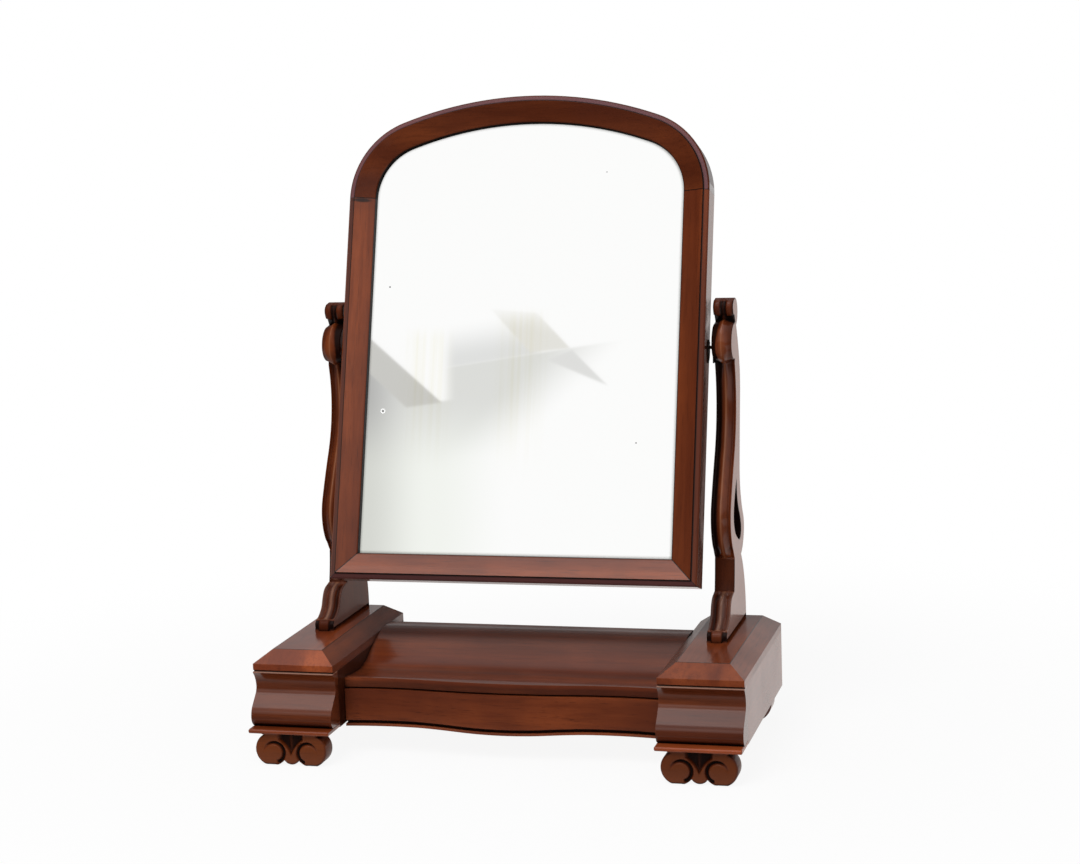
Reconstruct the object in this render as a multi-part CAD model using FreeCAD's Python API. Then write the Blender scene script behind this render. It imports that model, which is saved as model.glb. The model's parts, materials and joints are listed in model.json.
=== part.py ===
"""A Victorian toilet mirror on a drawer base, in millimetres.

Two pedestals with ogee fronts, bevelled tops and scroll feet stand either side of a serpentine
frieze drawer under a swept top.  Each pedestal carries a pierced scroll upright, and an arched
mirror frame tilts on two iron pins between them.  X runs to the right, Y to the back and Z up,
with the floor at Z = 0 and the object centred on its bounding box in X and Y.
"""
import FreeCAD, Part
import math
import os

from FreeCAD import Vector

os.makedirs("parts", exist_ok=True)

# ---- driving dimensions -------------------------------------------------------------------
WIDTH = 650.0            # over the two pedestal tops
TOP_DEPTH = 296.0        # pedestal top, front to back
PEDESTAL_W = 110.6
FOOT_H = 42.6            # floor to the underside of the pedestals
BEAD_H = 5.8             # half-round moulding under each ogee front
CARCASS_TOP = 118.5      # where the sides and the ogee front end
QUIRK_H = 2.3            # thin shadow line between the ogee front and the top
QUIRK_IN = 3.0
SLAB_EDGE = 8.1          # square edge of the bevelled top
BEVEL_RUN = 21.4
BEVEL_RISE = 15.9
BOARD = 10.0             # pedestal sides
THIN = 8.0               # backs, bottoms and drawer linings
FRONT_BACK_Y = -130.0    # back face of the ogee fronts

UPRIGHT_IN_X = 255.5     # inner face of each upright
UPRIGHT_T = 26.5
RIDGE_HALF = 7.5         # half width of the raised ridge down the upright's front
RIDGE_STEP = 3.0

FRAME_HALF_W = 248.8     # mirror frame, to its outer sides
FRAME_BELOW = 315.5      # bottom of the frame below the pivot, along the frame
FRAME_ABOVE = 340.0      # crown of the frame above the pivot
SPRING = 205.0           # where the arch springs from the stiles
SHOULDER_R = 110.0       # small arcs of the three-centred arch
SECTION_W = 35.5         # width of the frame's moulding
GLASS_T = 4.0
GLASS_D = -16.0          # depth of the glass's front face, along the frame's own depth
BACKBOARD_T = 6.0
FRAME_BACK = 9.0         # back of the frame behind the pivot
TILT = 17.3              # the frame leans back this many degrees at rest
PIVOT_Y = 71.5
PIVOT_Z = 515.9
PIN_R = 2.2
PIN_CLEARANCE = 0.05
PIN_IN_UPRIGHT = 14.0

DRAWER_GAP = 0.5
FRIEZE_TOP = 88.3        # top edge of the drawer front
FRIEZE_BOTTOM = 38.0     # lowest edge of the drawer's bead, at its ends
LIP_H = 3.5              # bead under the drawer front
RECESS_H = 4.2           # shadow groove above the bead
NOSING_BACK = 3.5        # nosing of the swept top, behind the drawer's face
DRAWER_BACK_Y = 112.0
FRONT_Y = -108.0         # drawer front's face at its ends
FRONT_IN_Y = -92.0

# ---- worked out from them -----------------------------------------------------------------
HALF = WIDTH / 2
INNER_X = HALF - PEDESTAL_W
CENTRE_X = HALF - PEDESTAL_W / 2
FRONT_EDGE = -TOP_DEPTH / 2
REAR_EDGE = TOP_DEPTH / 2
SLAB_Z = CARCASS_TOP + QUIRK_H
SLAB_TOP = SLAB_Z + SLAB_EDGE + BEVEL_RISE
UPRIGHT_MID_X = UPRIGHT_IN_X + UPRIGHT_T / 2
BOTTOM_TOP = FOOT_H + THIN
PLINTH_NOSE = FRONT_EDGE - 28.8
FRAME_REAR = PIVOT_Y + FRAME_BACK * math.cos(math.radians(TILT)) + FRAME_ABOVE * math.sin(math.radians(TILT))
CENTRE_Y = (PLINTH_NOSE + FRAME_REAR) / 2


# ---- small tools --------------------------------------------------------------------------
def box(x0, x1, y0, y1, z0, z1):
    return Part.makeBox(x1 - x0, y1 - y0, z1 - z0, Vector(x0, y0, z0))


def cylinder_x(x0, x1, y, z, radius):
    return Part.makeCylinder(radius, x1 - x0, Vector(x0, y, z), Vector(1, 0, 0))


def run(points):
    """Straight edges joining the points."""
    return [Part.LineSegment(Vector(*a), Vector(*b)).toShape() for a, b in zip(points, points[1:])]


def flow(pairs, heading, place):
    """Arcs through the (a, b) pairs, each leaving the last one smoothly; the first sets out at `heading`."""
    edges = []
    for (a0, b0), (a1, b1) in zip(pairs, pairs[1:]):
        chord = math.degrees(math.atan2(b1 - b0, a1 - a0))
        turn = (chord - heading + 180) % 360 - 180
        bulge = math.tan(math.radians(turn / 2)) / 2
        middle = ((a0 + a1) / 2 + (b1 - b0) * bulge, (b0 + b1) / 2 - (a1 - a0) * bulge)
        edges.append(Part.Arc(place(a0, b0), place(*middle), place(a1, b1)).toShape())
        heading = chord + turn
    return edges


def prism(edges, along):
    """The closed outline made by the edges, pushed along a vector."""
    return Part.Face(Part.Wire(Part.__sortEdges__(edges))).extrude(Vector(*along))


def in_yz(pairs, x=0.0):
    return [(x, y, z) for y, z in pairs]


def in_xz(pairs, y=0.0):
    return [(x, y, z) for x, z in pairs]


def fuse(shapes):
    whole = shapes[0].multiFuse(shapes[1:]) if len(shapes) > 1 else shapes[0]
    return whole.removeSplitter()


def mirrored(shape):
    return shape.mirror(Vector(0, 0, 0), Vector(1, 0, 0))


# ---- pedestals (built on the right, mirrored for the left) -----------------------------------
def pedestal_top():
    """Bevelled slab with a quirk under its front edge; its other sides are flush with the carcass."""
    x0, x1 = INNER_X, HALF
    y0, y1 = FRONT_EDGE, REAR_EDGE
    rise, inset = BEVEL_RISE, BEVEL_RUN
    quirk = box(x0, x1, y0 + QUIRK_IN, y1, CARCASS_TOP, SLAB_Z)
    edge = box(x0, x1, y0, y1, SLAB_Z, SLAB_Z + SLAB_EDGE)
    bevel = Part.makeWedge(x0, 0, -y1, -y1 + inset, x0 + inset, x1, rise, -y0, -y0 - inset, x1 - inset)
    bevel.rotate(Vector(0, 0, 0), Vector(1, 0, 0), 90)
    bevel.translate(Vector(0, 0, SLAB_Z + SLAB_EDGE))
    return fuse([quirk, edge, bevel])


def pedestal_front():
    """Ogee front: a cove under the top running out into a swelling, cut from one board."""
    def at(y, z):
        return Vector(INNER_X, y, z)

    foot = FOOT_H + BEAD_H
    cove = flow([(-149.5, CARCASS_TOP - 1.5), (-140.3, 99.0), (-144.5, 87.5)], -42, at)
    swelling = flow([(-144.5, 87.5), (-157.5, 75.0), (-163.6, 62.5), (-156.5, foot)], 223, at)
    rest = run(in_yz([(-156.5, foot), (FRONT_BACK_Y, foot), (FRONT_BACK_Y, CARCASS_TOP),
                      (-149.5, CARCASS_TOP), (-149.5, CARCASS_TOP - 1.5)], INNER_X))
    return prism(cove + swelling + rest, (PEDESTAL_W, 0, 0))


def plinth_moulding():
    """Half-round bead that runs under the ogee front."""
    radius = BEAD_H / 2
    flat_y = PLINTH_NOSE + radius
    arc = Part.Arc(Vector(INNER_X, flat_y, FOOT_H + BEAD_H), Vector(INNER_X, PLINTH_NOSE, FOOT_H + radius),
                   Vector(INNER_X, flat_y, FOOT_H)).toShape()
    rest = run(in_yz([(flat_y, FOOT_H), (FRONT_BACK_Y, FOOT_H), (FRONT_BACK_Y, FOOT_H + BEAD_H),
                      (flat_y, FOOT_H + BEAD_H)], INNER_X))
    strip = prism([arc] + rest, (PEDESTAL_W, 0, 0))
    ends = [e for e in strip.Edges if abs(e.CenterOfMass.y - PLINTH_NOSE) < 2 and e.Length < 12]
    return strip.makeChamfer(1.0, ends)


def pedestal_side(x0):
    return box(x0, x0 + BOARD, FRONT_BACK_Y, REAR_EDGE, FOOT_H, CARCASS_TOP)


def pedestal_back():
    return box(INNER_X + BOARD, HALF - BOARD, REAR_EDGE - 4 - THIN, REAR_EDGE - 4, FOOT_H, CARCASS_TOP)


def pedestal_bottom():
    return box(INNER_X + BOARD, HALF - BOARD, FRONT_BACK_Y, REAR_EDGE - 4 - THIN, FOOT_H, BOTTOM_TOP)


def glue_blocks():
    """Triangular blocks rubbed into the corners under the top, two to a side."""
    leg = 16.0
    length = 42.0
    blocks = []
    for x, inward in ((INNER_X + BOARD, 1), (HALF - BOARD, -1)):
        for y in (-96.0, 66.0):
            outline = run([(x, y, CARCASS_TOP), (x + inward * leg, y, CARCASS_TOP),
                           (x, y, CARCASS_TOP - leg), (x, y, CARCASS_TOP)])
            blocks.append(prism(outline, (0, length, 0)))
    return Part.makeCompound(blocks)


def front_foot():
    """Scroll foot: two volutes grooved round their eyes, and a hollow between their bands."""
    front_y, back_y = -172.0, -146.0
    depth = back_y - front_y
    volute_r, volute_x, volute_z = 22.0, 27.0, 20.4
    eye_r = 11.5
    backward = Vector(0, 1, 0)
    parts = [box(CENTRE_X - 43, CENTRE_X + 43, front_y, back_y, 29.0, FOOT_H),
             box(CENTRE_X - 24, CENTRE_X + 24, front_y, back_y, 9.0, FOOT_H),
             Part.makeCylinder(12.0, depth, Vector(CENTRE_X, front_y, 12.8), backward)]
    hollow = prism(run(in_xz([(CENTRE_X - 16, FOOT_H - 3), (CENTRE_X + 16, FOOT_H - 3), (CENTRE_X, 8.0),
                              (CENTRE_X - 16, FOOT_H - 3)], front_y)), (0, 5.0, 0))
    grooves = []
    for side in (-1, 1):
        centre = Vector(CENTRE_X + side * volute_x, front_y, volute_z)
        parts.append(Part.makeCylinder(volute_r, depth, centre, backward))
        hollow = hollow.cut(Part.makeCylinder(volute_r - 1.5, depth, centre, backward))
        ring = [(eye_r, 0, -1), (eye_r + 2, 0, 3.2), (eye_r + 4.4, 0, -1), (eye_r, 0, -1)]
        groove = Part.Face(Part.Wire(run(ring))).revolve(Vector(0, 0, 0), backward, 360)
        groove.translate(centre)
        grooves.append(groove)
    below = box(CENTRE_X - 60, CENTRE_X + 60, front_y - 5, back_y + 5, -20, 0)
    return fuse(parts).cut(fuse(grooves)).cut(hollow).cut(below)


def rear_foot():
    """Plain bracket foot with its lower outer corner rounded off."""
    inner, outer, round_r = CENTRE_X - 5.0, CENTRE_X + 45.5, 26.0
    front_y, back_y = 114.0, 142.0
    half_turn = round_r * math.sqrt(0.5)
    arc = Part.Arc(Vector(outer, front_y, round_r),
                   Vector(outer - round_r + half_turn, front_y, round_r - half_turn),
                   Vector(outer - round_r, front_y, 0)).toShape()
    rest = run(in_xz([(outer - round_r, 0), (inner, 0), (inner, FOOT_H), (outer, FOOT_H),
                      (outer, round_r)], front_y))
    return prism([arc] + rest, (0, back_y - front_y, 0))


# ---- uprights --------------------------------------------------------------------------------
def upright_outline(x, set_back):
    """Side view of the scroll upright; `set_back` draws the front in, for the flanks of its ridge."""
    def fore(y, z):
        return Vector(x, y + set_back, z)

    def aft(y, z):
        return Vector(x, y, z)

    toe = flow([(-29.0, SLAB_TOP), (-29.5, 151.5), (-21.0, 159.0)], 100, fore)
    instep = flow([(-21.0, 159.0), (20.0, 192.0), (36.0, 198.5)], 48, fore)
    block = flow([(36.0, 198.5), (44.0, 241.0)], 74, fore)
    stem = flow([(44.0, 241.0), (21.0, 274.0), (24.5, 317.0), (57.0, 376.0), (79.5, 445.0),
                 (75.0, 494.0)], 143, fore)
    leaf = flow([(75.0, 494.0), (50.0, 515.0), (64.0, 534.5), (80.0, 551.5)], 170, fore)
    crest = flow([(80.0, 551.5), (72.0, 565.0), (80.0, 577.0)], 135, fore)
    crown = run([fore(80.0, 577.0), aft(92.0, 578.5)])
    roll = flow([(92.0, 578.5), (106.0, 570.0), (96.0, 542.0)], 0, aft)
    back = flow([(96.0, 542.0), (113.0, 497.0), (114.0, 447.0), (98.5, 355.0), (116.0, 288.0), (120.0, 262.0),
                 (95.0, 236.0)], -62, aft)
    heel = flow([(95.0, 236.0), (113.0, 207.0), (122.5, SLAB_TOP)], -48, aft)
    sole = run([aft(122.5, SLAB_TOP), fore(-29.0, SLAB_TOP)])
    return toe + instep + block + stem + leaf + crest + crown + roll + back + heel + sole


def piercing():
    """The teardrop opening, as a prism right through the upright."""
    def at(y, z):
        return Vector(UPRIGHT_IN_X - 1, y, z)

    edges = flow([(71.5, 341.0), (47.5, 304.0), (58.5, 270.0), (80.0, 259.5), (97.0, 276.0), (86.0, 295.0),
                  (71.5, 341.0)], 226, at)
    return prism(edges, (UPRIGHT_T + 2, 0, 0))


def upright():
    """Pierced scroll upright with a ridge down its front, bored for the socket plate and pin."""
    ridge_x = UPRIGHT_MID_X - RIDGE_HALF
    flank_t = UPRIGHT_T / 2 - RIDGE_HALF
    core = prism(upright_outline(ridge_x, 0.0), (2 * RIDGE_HALF, 0, 0))
    inner = prism(upright_outline(UPRIGHT_IN_X, RIDGE_STEP), (flank_t, 0, 0))
    outer = prism(upright_outline(UPRIGHT_MID_X + RIDGE_HALF, RIDGE_STEP), (flank_t, 0, 0))
    bore = cylinder_x(UPRIGHT_IN_X - 1, UPRIGHT_IN_X + PIN_IN_UPRIGHT + 2, PIVOT_Y, PIVOT_Z, PIN_R + 0.6)
    return fuse([core, inner, outer, tenon()]).cut(piercing()).cut(bore).cut(socket_plate_blank())


def pointed_oval(x, below, above, half_width):
    """Upright pointed oval beside the pivot, as a face normal to X."""
    low = Vector(x, PIVOT_Y, PIVOT_Z - below)
    high = Vector(x, PIVOT_Y, PIVOT_Z + above)
    swell = Vector(0, half_width, 0)
    middle = (low + high) / 2
    edges = [Part.Arc(low, middle + swell, high).toShape(), Part.Arc(high, middle - swell, low).toShape()]
    return Part.Face(Part.Wire(edges))


def socket_plate_blank():
    return box(UPRIGHT_IN_X, UPRIGHT_IN_X + 1.6, PIVOT_Y - 7, PIVOT_Y + 7, PIVOT_Z - 20, PIVOT_Z + 9)


def socket_plate():
    """Iron plate let into the upright's inner face: the pin turns in its hole."""
    hole = cylinder_x(UPRIGHT_IN_X - 1, UPRIGHT_IN_X + 3, PIVOT_Y, PIVOT_Z, PIN_R + PIN_CLEARANCE)
    return socket_plate_blank().cut(hole)


def tenon():
    """Tenon under the upright, right through the pedestal's top."""
    return box(UPRIGHT_MID_X - 6, UPRIGHT_MID_X + 6, 12.0, 92.0, CARCASS_TOP, SLAB_TOP)


# ---- centre section --------------------------------------------------------------------------
def wave(half, heading, place):
    """Symmetrical wavy line right across the frieze: `half` holds the points left of the middle."""
    left = [(-INNER_X, 0.0)] + half
    return flow(left + [(-x, rise) for x, rise in reversed(left)], heading, place)


def behind(offset, y_back, z0, z1):
    """Everything behind the serpentine line of the drawer's face, between two heights."""
    def at(x, y):
        return Vector(x, FRONT_Y + offset + y, z0)

    line = wave([(-100.0, 0.8)], 7.0, at)
    rest = run([at(INNER_X, 0), Vector(INNER_X, y_back, z0), Vector(-INNER_X, y_back, z0), at(-INNER_X, 0)])
    return prism(line + rest, (0, 0, z1 - z0))


def apron_band(lift, top):
    """Slab between the waved lower edge of the frieze, raised by `lift`, and a level top."""
    def at(x, z):
        return Vector(x, -150.0, FRIEZE_BOTTOM + lift + z)

    line = wave([(-120.0, 0.6), (-62.0, -1.3)], 0.7, at)
    rest = run([at(INNER_X, 0), Vector(INNER_X, -150.0, top), Vector(-INNER_X, -150.0, top), at(-INNER_X, 0)])
    return prism(line + rest, (0, 100.0, 0))


def centre_top():
    """Swept top: a serpentine nosing at the front, a hollow, then a full roll down to the back."""
    def at(y, z):
        return Vector(-INNER_X, y, z)

    upper = [(-96.0, 102.6), (-50.0, 98.4), (-10.0, 107.0), (24.0, 122.0), (58.0, 130.0), (90.0, 129.6),
             (122.0, 122.0), (140.0, 104.0)]
    under = [(-96.0, 90.0), (-46.0, 88.0), (-6.0, 96.8), (30.0, 112.5), (60.0, 119.4), (92.0, 119.0),
             (118.0, 112.5), (131.0, 104.0)]
    edges = flow(upper, -9, at) + flow(under, -6, at)
    edges += run([at(*under[0]), at(*upper[0])]) + run([at(*upper[-1]), at(*under[-1])])
    board = prism(edges, (2 * INNER_X, 0, 0))
    nosing = behind(NOSING_BACK, upper[0][0], under[0][1], upper[0][1])
    return fuse([board, nosing])


def top_cleats():
    """Sloped strips on the pedestal sides that the swept top is glued to."""
    strip = 9.0
    slope = run(in_yz([(-2.0, 98.4), (28.0, 111.4), (28.0, 100.0), (-2.0, 87.0), (-2.0, 98.4)], -INNER_X))
    left = prism(slope, (strip, 0, 0))
    return Part.makeCompound([left, mirrored(left)])


def centre_back():
    return box(-INNER_X, INNER_X, 131.0, 131.0 + THIN, FOOT_H, 104.0)


def centre_bottom():
    return box(-INNER_X, INNER_X, FRONT_IN_Y + DRAWER_GAP, 131.0, FOOT_H, BOTTOM_TOP)


def drawer_stops():
    y0 = DRAWER_BACK_Y + 0.4
    return Part.makeCompound([box(x - 15, x + 15, y0, y0 + 12, BOTTOM_TOP, BOTTOM_TOP + 10)
                              for x in (-120, 120)])


# ---- drawer ----------------------------------------------------------------------------------
DRAWER_HALF = INNER_X - DRAWER_GAP
DRAWER_Z0 = BOTTOM_TOP + 0.4
DRAWER_Z1 = 84.0
DRAWER_FLOOR = DRAWER_Z0 + 4.0
DRAWER_FLOOR_T = 4.0


def within_drawer(shape):
    return shape.common(box(-DRAWER_HALF, DRAWER_HALF, -160, 140, 0, 200))


def drawer_front():
    """Serpentine board with a waved foot and a shadow groove just above it."""
    board = behind(0.0, FRONT_IN_Y, 30.0, FRIEZE_TOP).common(apron_band(LIP_H, FRIEZE_TOP))
    groove = apron_band(LIP_H, 60.0).cut(apron_band(LIP_H + RECESS_H, 61.0)).cut(behind(6.0, 0.0, 30.0, 70.0))
    return within_drawer(board.cut(groove))


def drawer_bead():
    """Bead under the drawer front: its lower edge is the finger pull."""
    strip = behind(-0.8, FRONT_IN_Y, 30.0, 60.0).common(apron_band(0.0, 60.0)).cut(apron_band(LIP_H, 61.0))
    return within_drawer(strip)


def drawer_side(x0):
    side = box(x0, x0 + THIN, FRONT_IN_Y, DRAWER_BACK_Y, DRAWER_Z0, DRAWER_Z1)
    return side.cut(drawer_floor())


def drawer_back():
    half = DRAWER_HALF - THIN
    back = box(-half, half, DRAWER_BACK_Y - THIN, DRAWER_BACK_Y, DRAWER_Z0, DRAWER_Z1)
    return back.cut(drawer_floor())


def drawer_floor():
    tongue = 3.0
    x = DRAWER_HALF - THIN + tongue
    return box(-x, x, FRONT_IN_Y, DRAWER_BACK_Y - THIN + tongue, DRAWER_FLOOR, DRAWER_FLOOR + DRAWER_FLOOR_T)


# ---- mirror frame, in its own plane: Y is depth (front negative), Z runs up the frame, pivot at 0 --
def arch_centre():
    """Centre height and radius of the large middle arc, tangent to the shoulder arcs."""
    run_x = FRAME_HALF_W - SHOULDER_R
    rise = FRAME_ABOVE - SPRING
    # the two arcs touch where their centres and the joint are in line
    radius = (run_x ** 2 + rise ** 2 - SHOULDER_R ** 2) / (2 * (rise - SHOULDER_R))
    return FRAME_ABOVE - radius, radius


def shoulder_angle():
    """How far each shoulder arc turns from the stile before it meets the middle arc."""
    centre_z, radius = arch_centre()
    return math.degrees(math.atan2(SPRING - centre_z, FRAME_HALF_W - SHOULDER_R))


def arched_outline(inset, y):
    """The frame's outline drawn in by `inset`, as a face at depth `y`."""
    centre_z, radius = arch_centre()
    turn = math.radians(shoulder_angle())
    half = FRAME_HALF_W - inset
    small = SHOULDER_R - inset
    large = radius - inset
    cx = FRAME_HALF_W - SHOULDER_R
    mid = turn / 2

    def on_shoulder(angle, side):
        return Vector(side * (cx + small * math.cos(angle)), y, SPRING + small * math.sin(angle))

    low = -FRAME_BELOW + inset
    corners = [Vector(-half, y, SPRING), Vector(-half, y, low), Vector(half, y, low), Vector(half, y, SPRING)]
    edges = [Part.LineSegment(a, b).toShape() for a, b in zip(corners, corners[1:])]
    edges.append(Part.Arc(on_shoulder(0, 1), on_shoulder(mid, 1), on_shoulder(turn, 1)).toShape())
    crown = Vector(0, y, centre_z + large)
    edges.append(Part.Arc(on_shoulder(turn, 1), crown, on_shoulder(turn, -1)).toShape())
    edges.append(Part.Arc(on_shoulder(turn, -1), on_shoulder(mid, -1), on_shoulder(0, -1)).toShape())
    return Part.Face(Part.Wire(edges))


def moulding_section():
    """Frame moulding as (inset from the outer side, depth): band, raised arris, sloping face, rebates."""
    return [(0.0, FRAME_BACK), (0.0, -26.0), (2.0, -28.0), (7.4, -28.6), (8.4, -31.0), (18.0, -27.0),
            (33.5, -21.6), (SECTION_W, -19.8), (SECTION_W, GLASS_D), (28.0, GLASS_D), (28.0, 3.0),
            (21.0, 3.0), (21.0, FRAME_BACK), (0.0, FRAME_BACK)]


def swept_arc(centre_x, centre_z, radius, start, turn):
    """The moulding turned about an arc's centre: `start` is measured from +X towards +Z."""
    face = Part.Face(Part.makePolygon([Vector(radius - w, d, 0) for w, d in moulding_section()]))
    face.rotate(Vector(0, 0, 0), Vector(0, 1, 0), -start)
    solid = face.revolve(Vector(0, 0, 0), Vector(0, 1, 0), -turn)
    solid.translate(Vector(centre_x, 0, centre_z))
    return solid


def frame_arch():
    centre_z, radius = arch_centre()
    turn = shoulder_angle()
    cx = FRAME_HALF_W - SHOULDER_R
    right = swept_arc(cx, SPRING, SHOULDER_R, 0, turn)
    crown = swept_arc(0, centre_z, radius, turn, 180 - 2 * turn)
    left = swept_arc(-cx, SPRING, SHOULDER_R, 180 - turn, turn)
    return fuse([right, crown, left])


def mitre(member, side, keep_upper):
    """Cuts a frame member on the 45 degree line through the bottom corner on one side."""
    reach = 120.0
    corner = Vector(side * FRAME_HALF_W, -60, -FRAME_BELOW)
    outer = corner + Vector(side * 15, 0, -15)
    inner = corner + Vector(-side * reach, 0, reach)
    third = Vector(inner.x, -60, outer.z) if keep_upper else Vector(outer.x, -60, inner.z)
    waste = Part.Face(Part.makePolygon([outer, inner, third, outer])).extrude(Vector(0, 120, 0))
    return member.cut(waste)


def frame_stile(side):
    face = Part.Face(Part.makePolygon([Vector(side * (FRAME_HALF_W - w), d, -FRAME_BELOW)
                                       for w, d in moulding_section()]))
    return mitre(face.extrude(Vector(0, 0, FRAME_BELOW + SPRING)), side, True)


def frame_bottom_rail():
    face = Part.Face(Part.makePolygon([Vector(-FRAME_HALF_W, d, -FRAME_BELOW + w)
                                       for w, d in moulding_section()]))
    rail = face.extrude(Vector(2 * FRAME_HALF_W, 0, 0))
    return mitre(mitre(rail, 1, False), -1, False)


def mirror_glass():
    return arched_outline(29.0, GLASS_D).extrude(Vector(0, GLASS_T, 0))


def backboard():
    return arched_outline(21.0, 3.0).extrude(Vector(0, BACKBOARD_T, 0))


def glass_wedges():
    """Small blocks that hold the glass forward in the rebate."""
    wedges = []
    thick = 7.0
    y0 = GLASS_D + GLASS_T
    for z in (-220.0, -60.0, 100.0):
        for side in (-1, 1):
            x = side * (FRAME_HALF_W - 28.0)
            wedges.append(box(min(x, x - side * thick), max(x, x - side * thick), y0, 3.0, z, z + 40))
    for x in (-140.0, 100.0):
        wedges.append(box(x, x + 40, y0, 3.0, -FRAME_BELOW + 28.0, -FRAME_BELOW + 28.0 + thick))
    return Part.makeCompound(wedges)


def pivot_plate(side):
    """Pointed iron plate on the side of the frame with the pin it carries."""
    plate = pointed_oval(FRAME_HALF_W, 21.0, 10.0, 6.5).extrude(Vector(1.4, 0, 0))
    pin = cylinder_x(FRAME_HALF_W, UPRIGHT_IN_X + PIN_IN_UPRIGHT, PIVOT_Y, PIVOT_Z, PIN_R)
    whole = fuse([plate, pin])
    whole.translate(Vector(0, -PIVOT_Y, -PIVOT_Z))
    return whole if side > 0 else mirrored(whole)


def hung(shape):
    """From the frame's own plane to its place between the uprights, leaning back."""
    placed = shape.copy()
    placed.rotate(Vector(0, 0, 0), Vector(1, 0, 0), -TILT)
    placed.translate(Vector(0, PIVOT_Y, PIVOT_Z))
    return placed


# ---- the assembly ----------------------------------------------------------------------------
def pedestal_nodes():
    """Everything on the right-hand pedestal, by its name without a side."""
    return {
        "pedestal_outer_side": pedestal_side(HALF - BOARD),
        "pedestal_inner_side": pedestal_side(INNER_X),
        "pedestal_front": pedestal_front(),
        "pedestal_back": pedestal_back(),
        "pedestal_bottom": pedestal_bottom(),
        "pedestal_top": pedestal_top().cut(tenon()),
        "pedestal_glue_blocks": glue_blocks(),
        "plinth_moulding": plinth_moulding(),
        "front_foot": front_foot(),
        "rear_foot": rear_foot(),
        "upright": upright(),
        "socket_plate": socket_plate(),
    }


def assembly():
    nodes = {}
    for name, shape in pedestal_nodes().items():
        nodes["right_" + name] = shape
        nodes["left_" + name] = mirrored(shape)
    nodes["centre_top"] = centre_top()
    nodes["centre_top_cleats"] = top_cleats()
    nodes["centre_back"] = centre_back()
    nodes["centre_bottom"] = centre_bottom()
    nodes["drawer_stops"] = drawer_stops()
    nodes["drawer_front"] = drawer_front()
    nodes["drawer_bead"] = drawer_bead()
    nodes["drawer_left_side"] = drawer_side(-DRAWER_HALF)
    nodes["drawer_right_side"] = drawer_side(DRAWER_HALF - THIN)
    nodes["drawer_back"] = drawer_back()
    nodes["drawer_bottom"] = drawer_floor()
    nodes["frame_arch"] = hung(frame_arch())
    nodes["frame_left_stile"] = hung(frame_stile(-1))
    nodes["frame_right_stile"] = hung(frame_stile(1))
    nodes["frame_bottom_rail"] = hung(frame_bottom_rail())
    nodes["mirror_glass"] = hung(mirror_glass())
    nodes["glass_wedges"] = hung(glass_wedges())
    nodes["mirror_backboard"] = hung(backboard())
    nodes["left_pivot_plate"] = hung(pivot_plate(-1))
    nodes["right_pivot_plate"] = hung(pivot_plate(1))
    return nodes


def main():
    for name, shape in assembly().items():
        shape.translate(Vector(0, -CENTRE_Y, 0))
        shape.exportStep("parts/%s.step" % name)


main()
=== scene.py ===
"""Looks of the toilet mirror: polished mahogany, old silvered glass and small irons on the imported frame."""
import json
import math

import bmesh
import bpy
import numpy
from mathutils import Matrix, Vector
from mathutils.geometry import delaunay_2d_cdt, tessellate_polygon


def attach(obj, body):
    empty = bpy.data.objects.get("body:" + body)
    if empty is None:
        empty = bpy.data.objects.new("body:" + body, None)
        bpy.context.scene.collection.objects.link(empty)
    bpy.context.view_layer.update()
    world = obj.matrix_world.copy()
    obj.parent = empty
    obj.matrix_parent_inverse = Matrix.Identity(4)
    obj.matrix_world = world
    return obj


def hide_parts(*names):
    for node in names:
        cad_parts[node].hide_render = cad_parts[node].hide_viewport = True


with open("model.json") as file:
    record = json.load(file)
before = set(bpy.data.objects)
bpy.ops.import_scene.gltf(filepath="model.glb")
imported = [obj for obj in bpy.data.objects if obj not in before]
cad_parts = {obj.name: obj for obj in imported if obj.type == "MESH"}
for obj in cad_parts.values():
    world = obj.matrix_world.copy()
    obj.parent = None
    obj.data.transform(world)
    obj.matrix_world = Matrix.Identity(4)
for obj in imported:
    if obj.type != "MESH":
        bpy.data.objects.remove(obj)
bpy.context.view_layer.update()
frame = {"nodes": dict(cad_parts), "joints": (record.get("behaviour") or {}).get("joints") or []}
nodes = frame["nodes"]
PIVOT = Vector(next(j for j in frame["joints"] if j["name"] == "mirror_tilt")["pos_m"])
TILT = math.radians(17.3)
MM = 0.001
CENTRE_Y = 2.2001522  # mm; the zero of the outlines' y lies this far in front of the frame's


def put(name, data):
    """A new object at the origin of the scene."""
    made = bpy.data.objects.new(name, data)
    bpy.context.scene.collection.objects.link(made)
    return made


# ---- shader helpers ---------------------------------------------------------------------------
class Socket:
    """A shader output that can be used in Python expressions."""

    def __init__(self, shader, link):
        self.shader = shader
        self.link = link

    def maths(self, operation, a, b=0.0):
        return self.shader.node("ShaderNodeMath", {"operation": operation}, {0: a, 1: b})

    def __add__(self, other):
        return self.maths("ADD", self, other)

    def __sub__(self, other):
        return self.maths("SUBTRACT", self, other)

    def __rsub__(self, other):
        return self.maths("SUBTRACT", other, self)

    def __mul__(self, other):
        return self.maths("MULTIPLY", self, other)

    __radd__ = __add__
    __rmul__ = __mul__


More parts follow.
